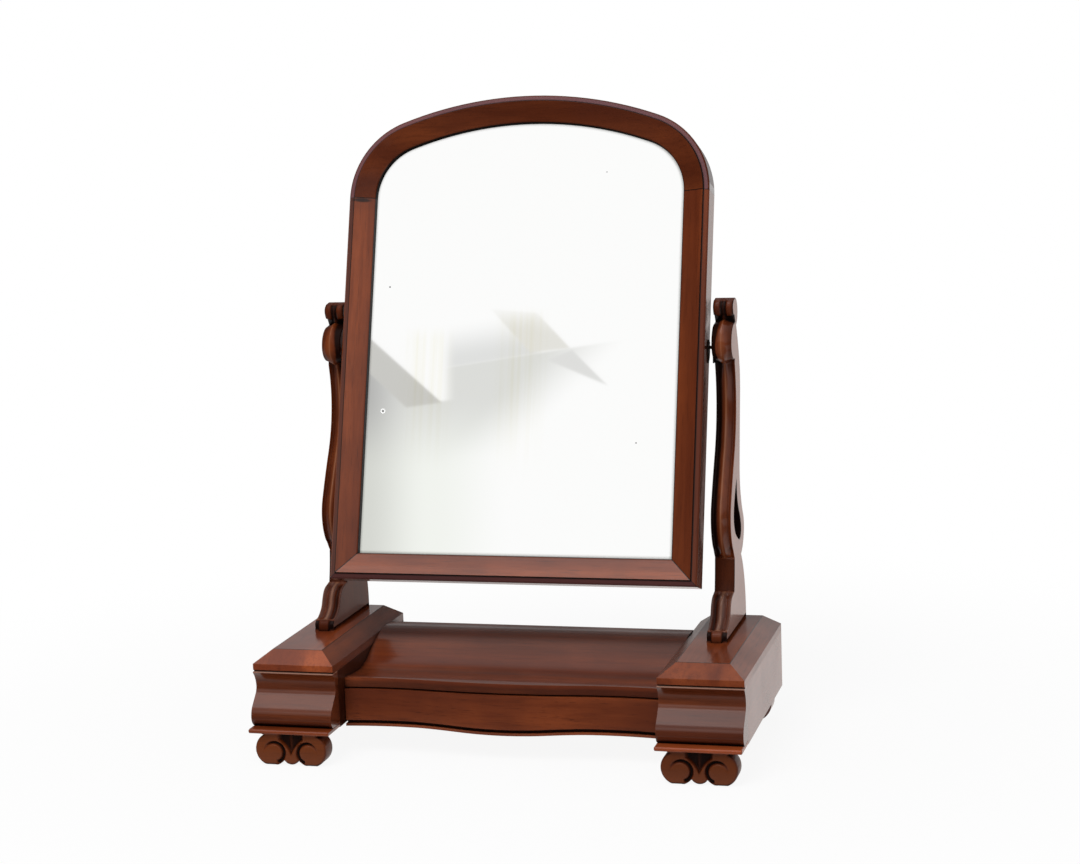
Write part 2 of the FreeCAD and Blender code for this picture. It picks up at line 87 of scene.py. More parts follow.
class Shader:
    """The node tree of a material, the world or a geometry group, filled by one method."""

    def __init__(self, owner):
        self.owner = owner
        owner.use_nodes = True
        self.tree = owner.node_tree
        self.tree.nodes.clear()

    @classmethod
    def over(cls, tree):
        """The same methods over a Geometry Nodes tree."""
        made = cls.__new__(cls)
        made.owner = made.tree = tree
        return made

    def node(self, kind, settings=None, inputs=None, out=0):
        """Adds a node from its type, its settings and the values or links of its sockets."""
        made = self.tree.nodes.new(kind)
        for key, value in (settings or {}).items():
            setattr(made, key, value)
        for key, value in (inputs or {}).items():
            if isinstance(value, Socket):
                self.tree.links.new(value.link, made.inputs[key])
            else:
                made.inputs[key].default_value = value
        return Socket(self, made.outputs[out]) if made.outputs else None

    def smooth(self, value, low, high, to_low=0.0, to_high=1.0):
        """Eases from one value to another as a third runs from low to high."""
        return self.node("ShaderNodeMapRange", {"interpolation_type": "SMOOTHSTEP"},
                         {0: value, 1: low, 2: high, 3: to_low, 4: to_high})

    def smooth_mm(self, value, low, high, to_low=0.0, to_high=1.0):
        return self.smooth(value, low * MM, high * MM, to_low, to_high)

    def shift(self, where, settings=None, **sockets):
        return self.node("ShaderNodeMapping", settings, {"Vector": where, **sockets})

    def along(self, where, grain, offset):
        """Turns a place so that the grain runs along y, moved so that no two boards share their figure."""
        return self.shift(where, {"vector_type": "TEXTURE"}, Rotation=GRAIN_TURN[grain], Location=offset)

    def crevice(self, reach):
        """1 in the open, falling to 0 where other faces stand within a reach in millimetres."""
        return self.node("ShaderNodeAmbientOcclusion", {"samples": 6}, {"Distance": reach * MM}, out=1)

    def mix(self, factor, a, b):
        return self.node("ShaderNodeMix", {"data_type": "RGBA"}, {0: factor, 6: a, 7: b}, out=2)

    def part(self, vector, axis):
        return self.node("ShaderNodeSeparateXYZ", {}, {0: vector}, out=axis)

    def dot(self, a, b):
        return self.node("ShaderNodeVectorMath", {"operation": "DOT_PRODUCT"}, {0: a, 1: b}, out=1)

    def distance(self, a, b):
        return self.node("ShaderNodeVectorMath", {"operation": "DISTANCE"}, {0: a, 1: b}, out=1)

    def size(self, value):
        return self.node("ShaderNodeMath", {"operation": "ABSOLUTE"}, {0: value})

    def most(self, a, b):
        return self.node("ShaderNodeMath", {"operation": "MAXIMUM"}, {0: a, 1: b})

    def noise(self, where, scale, detail):
        return self.node("ShaderNodeTexNoise", {}, {"Vector": where, "Scale": scale, "Detail": detail})

    def principled(self, **sockets):
        names = {name.replace("_", " "): value for name, value in sockets.items()}
        return self.node("ShaderNodeBsdfPrincipled", {}, names)

    def end(self, shader, kind="ShaderNodeOutputMaterial"):
        self.node(kind, {}, {0: shader})
        return self.owner


def rgb(r, g, b):
    return (r, g, b, 1.0)


def toned(tone, colour):
    """A colour of the wood at one board's brightness, which holds painted light and shade as well as the
    board's own tone.
    """
    return rgb(*(part * tone for part in colour))


WHITE = rgb(1, 1, 1)


# ---- finishes ---------------------------------------------------------------------------------
GRAIN_TURN = {"x": (0, 0, math.pi / 2), "y": (0, 0, 0), "z": (math.pi / 2, 0, 0)}

# The frame in the mirror's own plane, mm: right from the middle, up from the pivot, depth towards the back.
FRAME_HALF_W = 248.8
FRAME_BELOW = 315.5
SPRING = 205.0
QUIRK = (-28.60, -28.40)
SIGHT_EDGE = (-20.8, -20.2)
RAIL_BAND_TOP = (7.4, 7.7)
CHIP_X, CHIP_UP, CHIP_SQUASH = -231.0, 201.6, 0.26
MITRE = math.sqrt(0.5)
CORNER_LINE = (FRAME_HALF_W - FRAME_BELOW) * MITRE
JOINTS = {
    "frame_left_stile": (((0, 0, 1), SPRING), ((-MITRE, 0, MITRE), CORNER_LINE)),
    "frame_right_stile": (((0, 0, 1), SPRING), ((MITRE, 0, MITRE), CORNER_LINE)),
    "frame_arch": (((0, 0, 1), SPRING),),
    "frame_bottom_rail": (((-MITRE, 0, MITRE), CORNER_LINE), ((MITRE, 0, MITRE), CORNER_LINE)),
}

# The flat of a pedestal top, mm.
PEDESTAL_MID_X = 269.7
FLAT_HALF_X = 33.9
FLAT_HALF_Y = 126.6
FLAT_LEVEL = (143.9, 144.3)

# Each board's brightness and gloss. The brightness is partly the board's own tone and partly painted light
# and shade: the boards of a pair are set apart as light falls on them, and the left pedestal's inner side is
# darkest as painted shade.
TONE_LIGHT_AND_POLISH = {
    "left_pedestal_top": (1.45, 1.0), "right_pedestal_top": (1.02, 0.75), "pedestal_front": (0.62, 1.0),
    "left_plinth_moulding": (1.2, 0.80), "right_plinth_moulding": (2.2, 0.80),
    "left_pedestal_inner_side": (0.20, 0.10), "right_pedestal_inner_side": (0.55, 0.40),
    "drawer_front": (0.90, 0.60), "frame_arch": (0.53, 0.30), "frame_left_stile": (0.95, 1.0),
    "frame_right_stile": (0.78, 0.60), "frame_bottom_rail": (1.10, 1.0), "centre_top": (1.05, 0.80),
    "front_foot": (0.60, 0.30), "left_upright": (0.70, 0.16), "right_upright": (0.80, 0.84),
}
OTHER_TONE_LIGHT_AND_POLISH = (1.0, 0.9)
PALE_FIGURE = (0.235, 0.0500, 0.0125)
DARK_FIGURE = (0.120, 0.0215, 0.0055)
STREAK = (0.075, 0.012, 0.003)
RUBBED_EDGE = (0.36, 0.105, 0.035)
WORN_AND_HIGHLIT_CREST = (0.34, 0.095, 0.025)
PORE = rgb(0.028, 0.006, 0.002)
CLOUD = rgb(0.060, 0.011, 0.004)
NEAR_BLACK = rgb(0.004, 0.002, 0.0018)
PAINTED_RIDGE_HIGHLIGHT = rgb(0.42, 0.19, 0.10)
DUST_AND_SHEEN = rgb(0.11, 0.068, 0.058)
PAINTED_SIDE_REFLECTION = rgb(0.36, 0.125, 0.07)
FILLET_HIGHLIGHT = rgb(0.42, 0.23, 0.17)
INNER_BEVEL_SHADE = rgb(0.03, 0.012, 0.007)
# painted light and shade on the frame's outer bands: a painted reflection on the arch, painted shade on the
# bottom rail and left stile
PAINTED_BAND_LIGHT_AND_SHADE = {
    "frame_arch": (0.55, rgb(0.17, 0.085, 0.10)),
    "frame_bottom_rail": (0.85, rgb(0.045, 0.017, 0.02)),
    "frame_left_stile": (0.70, rgb(0.05, 0.022, 0.02)),
}


def in_frame(s, place):
    """Turns a place on the object into the leaning mirror's own plane, measured from its pivot."""
    return s.node("ShaderNodeMapping", {"vector_type": "TEXTURE"},
                  {"Vector": place, "Location": PIVOT, "Rotation": (-TILT, 0, 0)})


def figured_wood(s, along, tone):
    """The timber's own colour, and the noises that its polish and relief follow as well."""
    stretched = s.shift(along, Scale=(1.0, 0.07, 1.0))
    figure = s.noise(stretched, 26.0, 4.0)
    streaks = s.noise(stretched, 160.0, 3.0)
    pores = s.noise(s.shift(along, Scale=(1.0, 0.03, 1.0)), 900.0, 2.0)
    cloud = s.noise(along, 7.0, 2.0)
    mottle = s.noise(along, 34.0, 3.0)
    colour = s.mix(s.smooth(figure, 0.30, 0.74), toned(tone, DARK_FIGURE), toned(tone, PALE_FIGURE))
    colour = s.mix(s.smooth(streaks, 0.45, 0.72, 0.0, 0.35), colour, toned(tone, STREAK))
    colour = s.mix(s.smooth(pores, 0.58, 0.72, 0.0, 0.45), colour, PORE)
    colour = s.mix(s.smooth(cloud + (mottle - 0.5) * 0.35, 0.36, 0.66, 0.0, 0.32), colour, CLOUD)
    return colour, streaks, pores, cloud, mottle


def mahogany(node, grain, seed):
    """Polished mahogany with its grain along one axis, darkened with painted shade and grime in its hollows,
    and darkened in its hairline joints.
    """
    same_on_both_sides = node.split("_", 1)[1]
    tone, gloss = TONE_LIGHT_AND_POLISH.get(node, TONE_LIGHT_AND_POLISH.get(same_on_both_sides, OTHER_TONE_LIGHT_AND_POLISH))
    s = Shader(bpy.data.materials.new("mahogany_" + node))
    place = s.node("ShaderNodeTexCoord", out=3)
    flat = in_frame(s, place) if node.startswith("frame_") else place
    along = s.along(flat, grain, (seed * 0.37, seed * 0.19, seed))
    colour, streaks, pores, cloud, mottle = figured_wood(s, along, tone)
    rounded = s.node("ShaderNodeBevel", {"samples": 4}, {"Radius": 0.8 * MM})
    facing = s.node("ShaderNodeNewGeometry", out=1)
    edge = 1 - s.dot(rounded, facing)
    crevice = s.crevice(3.5 if node.endswith("plinth_moulding") else 9)
    rubbed = s.smooth(edge, 0.02, 0.20, 0.0, 0.45) * s.smooth(crevice, 0.75, 0.95)
    colour = s.mix(rubbed, colour, toned(tone, RUBBED_EDGE))
    # painted shade and grime: near black where other faces stand close
    colour = s.mix(s.smooth(crevice, 0.25, 0.80, 0.95, 0.0), colour, NEAR_BLACK)
    for normal, offset in JOINTS.get(node, ()):
        gap = s.size(s.dot(flat, normal) - offset * MM)
        colour = s.mix(s.smooth_mm(gap, 0.35, 0.95, 0.9, 0.0), colour, NEAR_BLACK)
    if node.endswith(("upright", "front_foot")):
        colour, gloss = carving_marks(s, place, node, tone, colour, gloss)
    if node.startswith("frame_"):
        colour, gloss = frame_lines(s, flat, facing, mottle, node, colour, gloss)
    if node.endswith("pedestal_top"):
        colour = panel_line(s, place, colour)
    height = s.part(place, 2)
    if node == "centre_top":
        # darker towards the bottom of the top's front edge
        colour = s.mix(s.smooth_mm(height, 96, 101, 0.45, 0.0), colour, NEAR_BLACK)
        gloss = s.smooth_mm(s.part(place, 1), 62, 84, gloss, 0.15 * gloss)
    if node.endswith("pedestal_front"):
        # painted highlight along the top edge of the front's fillet
        colour = s.mix(s.smooth_mm(height, 117.2, 117.7, 0.0, 0.7), colour, FILLET_HIGHLIGHT)
    relief = pores * 0.5 + streaks * 0.3
    bump = s.node("ShaderNodeBump", {}, {"Strength": 0.10, "Distance": 0.25 * MM, "Height": relief,
                                         "Normal": rounded})
    rough = s.smooth(cloud, 0.3, 0.7, 0.30, 0.42) + s.smooth(crevice, 0.3, 0.8, 0.22, 0.0)
    polish = s.smooth(crevice, 0.35, 0.85, 0.25, 1.0) * gloss
    skin = s.principled(Base_Color=colour, Roughness=rough, IOR=1.5, Specular_IOR_Level=0.10, Normal=bump,
                        Coat_Weight=polish, Coat_Roughness=0.13, Coat_IOR=1.5)
    return s.end(skin)


def carving_marks(s, place, node, tone, colour, gloss):
    """Lighter crests, partly wear and partly painted highlight; painted shade and grime in the hollows; a
    painted highlight along the ridges; dust and painted sheen on the instep; and a painted reflection on the
    side faces of one support.
    """
    hollow = s.node("ShaderNodeAttribute", {"attribute_name": "hollow"}, out=2)
    # lighter crowns: partly wear, partly a painted highlight
    colour = s.mix(s.smooth(hollow, 0.0, 1.0, 0.28, 0.0), colour, toned(tone, WORN_AND_HIGHLIT_CREST))
    # painted shade and grime: near black in the deeper hollows
    colour = s.mix(s.smooth(hollow, 1.0, 4.2, 0.0, 0.94), colour, NEAR_BLACK)
    gloss = s.smooth(hollow, 0.9, 3.0, gloss, 0.12 * gloss)
    if node.endswith("upright"):
        front = s.smooth(hollow, -0.4, 0.0)
        # painted highlight along the crowns of the ridges
        colour = s.mix(s.smooth(hollow, 0.0, 0.28, 0.43, 0.0) * front, colour, PAINTED_RIDGE_HIGHLIGHT)
        level = s.part(place, 2)
        # dust and painted sheen: greyer on the instep's shallow parts
        dust_and_sheen = s.smooth_mm(level, 158, 160) * s.smooth_mm(level, 197, 199, 0.5, 0.0)
        colour = s.mix(dust_and_sheen * front * s.smooth(hollow, 0.8, 2.2, 1.0, 0.0), colour, DUST_AND_SHEEN)
    if node == "right_upright":
        # painted reflection: the right support's side faces drawn paler
        colour = s.mix(s.smooth(hollow, -0.8, -0.4, 0.60, 0.0), colour, PAINTED_SIDE_REFLECTION)
    return colour, gloss


def frame_lines(s, flat, facing, mottle, node, colour, gloss):
    """The frame's dark sight edge, painted shade in its quirk, painted light and shade on its outer bands,
    its better kept outer sides, and a chip under the left joint.
    """
    depth = s.part(flat, 1)
    rise = s.dot(facing, (0, math.sin(TILT), math.cos(TILT)))
    outward = s.part(facing, 0) * s.part(flat, 0) + rise * s.part(flat, 2)
    # painted shade: the quirk's step drawn near black
    quirk = s.smooth_mm(depth, *QUIRK, 0.92, 0.0) * s.smooth(outward, 0.0, 0.01)
    if node in PAINTED_BAND_LIGHT_AND_SHADE:
        share, tint = PAINTED_BAND_LIGHT_AND_SHADE[node]
        band = s.smooth(outward, 0.005, 0.015, 0.0, share) * s.smooth(outward, 0.06, 0.10, 1.0, 0.0)
        if node == "frame_bottom_rail":
            low, high = (up - FRAME_BELOW for up in RAIL_BAND_TOP)
            band = s.smooth_mm(s.part(flat, 2), low, high, share, 0.0)
        colour = s.mix(band, colour, tint)
    colour = s.mix(quirk, colour, NEAR_BLACK)
    sight = s.smooth_mm(depth, *SIGHT_EDGE, 0.0, 0.96) * s.smooth(outward, -0.10, -0.05, 1.0, 0.0)
    colour = s.mix(sight, colour, NEAR_BLACK)
    if node == "frame_left_stile":
        squeezed = s.shift(flat, Scale=(CHIP_SQUASH, 0.0, 1.0))
        away = s.distance(squeezed, (CHIP_X * CHIP_SQUASH * MM, 0, CHIP_UP * MM)) + (mottle - 0.5) * 0.003
        chip = s.smooth_mm(away, 2.2, 4.4, 0.88, 0.0) * s.smooth_mm(depth, -18, -16, 1.0, 0.0)
        colour = s.mix(chip, colour, NEAR_BLACK)
    outer = s.smooth_mm(s.size(s.part(flat, 0)), FRAME_HALF_W - 0.6, FRAME_HALF_W - 0.3)
    return colour, outer * (0.95 - gloss) + gloss


def panel_line(s, place, colour):
    """The scratched line round the flat of a pedestal top, where the bevels start, and painted shade on the
    bevel of its inner side.
    """
    x, y, z = (s.part(place, number) for number in range(3))
    side = s.size(s.size(x) - PEDESTAL_MID_X * MM) - FLAT_HALF_X * MM
    end = s.size(y + CENTRE_Y * MM) - FLAT_HALF_Y * MM
    rim = s.size(s.most(side, end))
    line = s.smooth_mm(rim, 0.25, 0.8, 0.85, 0.0) * s.smooth_mm(z, *FLAT_LEVEL)
    # painted shade on the inner bevel, beside the mirror
    inner_bevel_shade = s.smooth_mm(s.size(x), 235.5, 236.0, 0.45, 0.0) * s.smooth_mm(side - end, -0.2, 0.2)
    return s.mix(line, s.mix(inner_bevel_shade, colour, INNER_BEVEL_SHADE), NEAR_BLACK)


def drawer_lining(node, grain, seed):
    """Plain secondary wood, waxed, and darkened with painted shade in its corners."""
    s = Shader(bpy.data.materials.new("lining_" + node))
    place = s.node("ShaderNodeTexCoord", out=3)
    if node in ("mirror_backboard", "glass_wedges"):
        place = in_frame(s, place)
    along = s.along(place, grain, (seed, seed * 0.3, seed * 0.7))
    stretched = s.shift(along, Scale=(1.0, 0.03, 1.0))
    rings = s.noise(stretched, 60.0, 4.0)
    fibres = s.noise(stretched, 420.0, 2.0)
    colour = s.mix(s.smooth(rings, 0.35, 0.7), rgb(0.36, 0.20, 0.095), rgb(0.22, 0.105, 0.045))
    colour = s.mix(s.smooth(fibres, 0.5, 0.75, 0.0, 0.5), colour, rgb(0.12, 0.055, 0.025))
    # painted shade: darker where other faces stand close
    colour = s.mix(s.smooth(s.crevice(14), 0.3, 0.8, 0.7, 0.0), colour, rgb(0.045, 0.022, 0.012))
    bump = s.node("ShaderNodeBump", {}, {"Strength": 0.25, "Distance": 0.3 * MM, "Height": fibres})
    rough = s.smooth(rings, 0.3, 0.7, 0.5, 0.68)
    return s.end(s.principled(Base_Color=colour, Roughness=rough, Normal=bump))


# Marks on the glass, mm in the mirror's own plane. Each speck: right, up, radius. Each yellow run: left,
# right, low, high, and a shift of its threads in metres.
GLASS_DEPTH = -16
SPECKS = ((-188.3, 82.6, 1.3), (160.4, -128.8, 1.1), (107.9, 234.5, 0.9), (-189.5, -87.5, 1.3))
SPECK_RING = (-189.5 * MM, GLASS_DEPTH * MM, -87.5 * MM)
RUNS = ((-172, -88, -190, 32, 0.0), (-40, 42, -190, 56, 0.3))
RUN_EDGE = 25
RUN_FADE = 150
SILVER = rgb(0.97, 0.972, 0.965)
YELLOWED = rgb(0.93, 0.922, 0.85)
TARNISH = rgb(0.16, 0.155, 0.14)
BARE = rgb(0.006, 0.006, 0.006)


def silvered_glass():
    """Old mirror plate: clean silver with a few black specks, faint yellow runs and a tarnished margin."""
    s = Shader(bpy.data.materials.new("silvered_glass"))
    flat = in_frame(s, s.node("ShaderNodeTexCoord", out=3))
    x, up = s.part(flat, 0), s.part(flat, 2)
    colour = SILVER
    for left, right, low, high, start in RUNS:
        threads = s.noise(s.shift(flat, Location=(start, 0, 0), Scale=(1, 0, 0.02)), 120.0, 6.0)
        where = s.smooth_mm(x, left, left + RUN_EDGE) * s.smooth_mm(x, right - RUN_EDGE, right, 1.0, 0.0)
        where = where * s.smooth_mm(up, low, low + RUN_FADE)
        where = where * s.smooth_mm(up, high - RUN_EDGE, high, 1.0, 0.0)
        colour = s.mix(where * s.smooth(threads, 0.34, 0.70, 0.05, 1.0), colour, YELLOWED)
    colour = s.mix(s.smooth(s.crevice(5), 0.55, 0.98, 0.75, 0.0), colour, TARNISH)
    for speck_x, speck_up, radius in SPECKS:
        away = s.distance(flat, (speck_x * MM, GLASS_DEPTH * MM, speck_up * MM))
        colour = s.mix(s.smooth_mm(away, 0.6 * radius, radius, 1.0, 0.0), colour, BARE)
    ring = s.smooth_mm(s.size(s.distance(flat, SPECK_RING) - 2.6 * MM), 0.5, 1.0, 1.0, 0.0)
    return s.end(s.principled(Base_Color=colour, Metallic=1 - ring, Roughness=0.015))


def dark_iron():
    """Old iron, bloomed with rust."""
    s = Shader(bpy.data.materials.new("dark_iron"))
    rust = s.noise(s.node("ShaderNodeTexCoord", out=3), 260.0, 4.0)
    colour = s.mix(s.smooth(rust, 0.45, 0.7), rgb(0.012, 0.010, 0.009), rgb(0.055, 0.028, 0.016))
    bump = s.node("ShaderNodeBump", {}, {"Strength": 0.3, "Distance": 0.2 * MM, "Height": rust})
    rough = s.smooth(rust, 0.4, 0.7, 0.42, 0.7)
    return s.end(s.principled(Base_Color=colour, Metallic=0.7, Roughness=rough, Normal=bump))


def dress_nodes(iron):
    """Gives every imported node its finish, and says which node has which."""
    polished = {"x": ["centre_top", "drawer_front", "drawer_bead", "frame_arch", "frame_bottom_rail"],
                "y": [], "z": ["frame_left_stile", "frame_right_stile"]}
    linings = {"x": ["centre_back", "centre_bottom", "drawer_back", "drawer_bottom", "drawer_stops",
                     "glass_wedges"],
               "y": ["centre_top_cleats", "drawer_left_side", "drawer_right_side"], "z": ["mirror_backboard"]}
    for side in ("left_", "right_"):
        polished["x"] += [side + part
                          for part in ("pedestal_front", "plinth_moulding", "front_foot", "rear_foot")]
        polished["y"] += [side + part
                          for part in ("pedestal_top", "pedestal_outer_side", "pedestal_inner_side")]
        polished["z"] += [side + "upright"]
        linings["x"] += [side + "pedestal_back"]
        linings["y"] += [side + "pedestal_bottom", side + "pedestal_glue_blocks"]
    finishes = {"mirror_glass": silvered_glass()}
    for wood, boards in ((mahogany, polished), (drawer_lining, linings)):
        for grain, names in boards.items():
            for number, node in enumerate(names):
                finishes[node] = wood(node, grain, 1.0 + 13 * len(finishes) / 7 + number)
    for name, node in nodes.items():
        node.data.materials.clear()
        node.data.materials.append(finishes.get(name, iron))
    return finishes


# ---- carved work ------------------------------------------------------------------------------
UPRIGHT_MID_X = 268.8
UPRIGHT_HALF = 13.2
UPRIGHT_FOOT_Z = 144.4
UPRIGHT_COLUMNS = 45

# The outline in stretches from the toe up and round: each one's name, the heading in degrees at which it
# starts, and the places (y, z) that it runs through, mm.
FRONT_STRETCHES = (
    ("toe", 100, ((-29, UPRIGHT_FOOT_Z), (-29.5, 151.5), (-21, 159))),
    ("instep", 12, ((-21, 159), (-11, 162.5), (-2, 168.5), (3.5, 176), (7.5, 184), (12.5, 190.5), (22, 195.8),
                    (36, 198.5))),
    ("block", 74, ((36, 198.5), (44, 241))),
    ("stem", 143, ((44, 241), (21, 274), (24.5, 317), (57, 376), (79.5, 445), (75, 494))),
    ("leaf", 178, ((75, 494), (50, 520), (68, 549), (80, 551.5))),
    ("crest", 135, ((80, 551.5), (72, 565), (80, 577))),
)
TOP_STRETCH = ((80, 577), (12, 1.5), 8)  # start, run and steps
BACK_STRETCHES = (
    ("roll", 0, ((92, 578.5), (106, 570), (96, 542))),
    ("back", -62, ((96, 542), (113, 497), (114, 447), (98.5, 355), (116, 288), (120, 262), (95, 236))),
    ("heel", -48, ((95, 236), (113, 207), (122.5, UPRIGHT_FOOT_Z))),
)
BASE_STEPS = 60
PIERCING = ("piercing", 226, ((71.5, 341), (47.5, 304), (58.5, 270), (80, 259.5), (97, 276), (86, 295),
                              (71.5, 341)))

# The half width of the leaf's raised part at heights in mm; how much darker each stretch is drawn whatever
# its depth, as painted shade inside the piercing; and how the painted shade and grime follow the depth on
# some stretches, with more painted shade on the side towards the mirror: overall, and by side.
LEAF_HALF_WIDTH = ((494, 0.22), (503, 0.40), (511, 0.53), (521, 0.53), (534, 0.38), (545, 0.24), (552, 0.16))
DARKENING_BY_STRETCH = {"piercing": 4.5, "block": 2.6, "crest": 1.9, "top": 1.6, "toe": 2.0, "stem": 0.08, "leaf": 0.15,
         "back": 1.0, "roll": 1.0, "heel": 1.0}
SHADED_SIDE = {"stem": (0.90, 0.75), "leaf": (1.0, 0.60), "instep": (0.75, 0.38)}
MOST_SHADE_AND_GRIME = 6.0
SIDE_FACE_MARK = -1.0


def sweep(heading, stops, step=1.6):
    """Points along a chain of arcs, each running on smoothly from the one before."""
    points = [stops[0]]
    for (x0, y0), (x1, y1) in zip(stops, stops[1:]):
        chord = math.hypot(x1 - x0, y1 - y0)
        bearing = math.degrees(math.atan2(y1 - y0, x1 - x0))
        half = (bearing - heading + 180) % 360 - 180
        count = max(3, round(chord / step))
        for number in range(1, count + 1):
            part = number / count
            turn = math.radians(half)
            share = math.sin(part * turn) / math.sin(turn) if abs(turn) > 1e-6 else part
            reach = chord * share
            way = math.radians(heading + half * part)
            points.append((x0 + reach * math.cos(way), y0 + reach * math.sin(way)))
        heading = bearing + half
    return points


def hump(value, middle, width):
    """1 at the middle, falling smoothly to 0 at a width away."""
    away = min(1.0, abs(value - middle) / width)
    return (1 - away * away) ** 2


def ramp(value, low, high):
    """0 below low, 1 above high and eased between."""
    share = min(1.0, max(0.0, (value - low) / (high - low)))
    return share * share * (3 - 2 * share)


def petal(across, width):
    """A keeled leaf with a side plane falling away from each of its edges."""
    return 1.1 * min(1.0, across / width) ** 1.6 + 4.6 * max(0.0, (across - width) / (1 - width)) ** 0.8


def carved_depth(stretch, t, z, across):
    """How far the carving lies behind the outline, mm; across runs from 0 at the middle to 1 at the side."""
    arris = 1.0 - math.sqrt(max(0.0, 1 - (max(0.0, (across - 0.925) / 0.075)) ** 2))
    if stretch == "stem":
        width = 0.46 - 0.20 * ramp(t, 0.90, 1.0) - 0.06 * ramp(1 - t, 0.92, 1.0)
        crown = 2.9 * min(1.0, across / width) ** 2.0
        hollow = 2.4 * math.sin(math.pi * ramp(across, width, 1.0)) - 0.3 * ramp(across, 0.8, 1.0)
        foot = 1.6 * hump(t, 0.035, 0.05) * ramp(across, 0.15, 0.6)
        return (crown + hollow + foot) * (0.35 + 0.65 * min(1.0, t / 0.06)) + arris
    if stretch == "leaf":
        width = float(numpy.interp(z, *zip(*LEAF_HALF_WIDTH)))
        return petal(across, width) + arris
    if stretch in ("crest", "top"):
        recess = 2.6 * (1 - ramp(across, 0.16, 0.42)) - 1.2 * hump(across, 0.0, 0.17)
        lobe = 1.7 * max(0.0, (across - 0.62) / 0.38) ** 2
        neck = petal(across, 0.16) * (1 - ramp(t, 0.04, 0.26)) if stretch == "crest" else 0.0
        crest_share = ramp(t, 0.02, 0.22) * min(1.0, 0.35 + (1 - t) / 0.09)
        share = crest_share if stretch == "crest" else 0.35 * (1 - t)
        return (recess + lobe) * share + neck + arris
    if stretch == "instep":
        valleys = 3.2 * hump(across, 0.50, 0.42) + 0.5 * ramp(across, 0.2, 0.9)
        return valleys * min(1.0, t / 0.10, (1 - t) / 0.12) + arris
    if stretch == "toe":
        return 4.0 * ramp(across, 0.42, 0.66) * (1 - 0.55 * t) + arris
    if stretch == "block":
        return 0.5 * across ** 3 + arris
    return 0.0 if stretch == "base" else arris


def support_outline():
    """A support's outline and piercing: places, each with its stretch and the share of it run so far."""
    outline = []
    for stretch, heading, stops in FRONT_STRETCHES:
        run = sweep(heading, stops)
        outline += [(point, stretch, number / (len(run) - 1)) for number, point in enumerate(run[:-1])]
    (y, z), (wide, high), steps = TOP_STRETCH
    top = [(y + wide * number / steps, z + high * number / steps) for number in range(steps)]
    outline += [(point, "top", number / (steps - 1)) for number, point in enumerate(top)]
    for stretch, heading, stops in BACK_STRETCHES:
        run = sweep(heading, stops)
        last = len(run) if stretch == "heel" else len(run) - 1
        outline += [(point, stretch, 0.5) for point in run[:last]]
    heel, toe = BACK_STRETCHES[-1][2][-1][0], FRONT_STRETCHES[0][2][0][0]
    outline += [((heel - (heel - toe) * number / BASE_STEPS, UPRIGHT_FOOT_Z), "base", 0.5)
                for number in range(1, BASE_STEPS)]
    name, heading, stops = PIERCING
    hole = [(point, name, 0.5) for point in sweep(heading, stops)[:-1]]
    return outline, hole


def carved_row(bm, hollow, ring, number, side):
    """The points across the board at one place of a ring, each sunk to the depth of the carving there."""
    (y, z), stretch, t = ring[number]
    y0, z0 = ring[number - 1][0]
    y1, z1 = ring[(number + 1) % len(ring)][0]
    first = Vector((y - y0, z - z0)).normalized()
    second = Vector((y1 - y, z1 - z)).normalized()
    mean = (first + second).normalized()
    inward = Vector((mean.y, -mean.x)) / max(0.6, mean.dot(second))
    base, turn = SHADED_SIDE.get(stretch, (1.0, 0.0))
    middle = UPRIGHT_MID_X if side == "right" else -UPRIGHT_MID_X
    row = []
    for column in range(UPRIGHT_COLUMNS):
        u = math.sin(math.pi / 2 * (2 * column / (UPRIGHT_COLUMNS - 1) - 1))
        depth = carved_depth(stretch, t, z, abs(u))
        place = Vector((y, z)) + inward * depth
        made = bm.verts.new((middle + u * UPRIGHT_HALF, place.x - CENTRE_Y, place.y))
        inner = -u if side == "right" else u
        # how dark this place is drawn: painted shade and grime by depth, with more painted shade on the side
        # towards the mirror
        shade_and_grime = depth * (base + turn * inner) + 0.8 * turn * max(0.0, inner)
        made[hollow] = min(shade_and_grime, MOST_SHADE_AND_GRIME) + DARKENING_BY_STRETCH.get(stretch, 0.0)
        row.append(made)
    return row


def carved_upright(side):
    """One pierced scroll support: its outline swept across the board with the carving cut into its front."""
    bm = bmesh.new()
    hollow = bm.verts.layers.float.new("hollow")
    walls = []
    for ring in support_outline():
        rows = [carved_row(bm, hollow, ring, number, side) for number in range(len(ring))]
        for row, following in zip(rows, rows[1:] + rows[:1]):
            for number in range(UPRIGHT_COLUMNS - 1):
                corners = (row[number], row[number + 1], following[number + 1], following[number])
                bm.faces.new(corners).smooth = True
        walls.append(rows)
    for column in (0, UPRIGHT_COLUMNS - 1):
        rings = [[row[column] for row in rows] for rows in walls]
        flat = [[Vector((v.co.y, v.co.z, 0)) for v in ring] for ring in rings]
        corners = [bm.verts.new(v.co) for ring in rings for v in ring]
        for corner in corners:
            corner[hollow] = SIDE_FACE_MARK
        for three in tessellate_polygon(flat):
            bm.faces.new([corners[corner] for corner in three])
    return finish_piece(bm, side + "_carved_upright")


# The front foot, mm from its middle line and the floor: the scrolls' eyes, the rounds and drop of its
# outline, the lid under the plinth, and its front and rear faces.
EYE_X, EYE_Z = 22.6, 16.6
FOOT_ROUNDS = ((27, 20.4, 22.0), (-27, 20.4, 22.0), (0, 12.8, 12.0))
FOOT_CENTRE_Z = 24.0
LID_Z, LID_HALF_X = 42.6, 41.0
FOOT_STEPS = 720
FOOT_FRONT_Y, FOOT_REAR_Y = 172, 146
FOOT_GRID = 0.9
FOOT_EDGE = 3.6


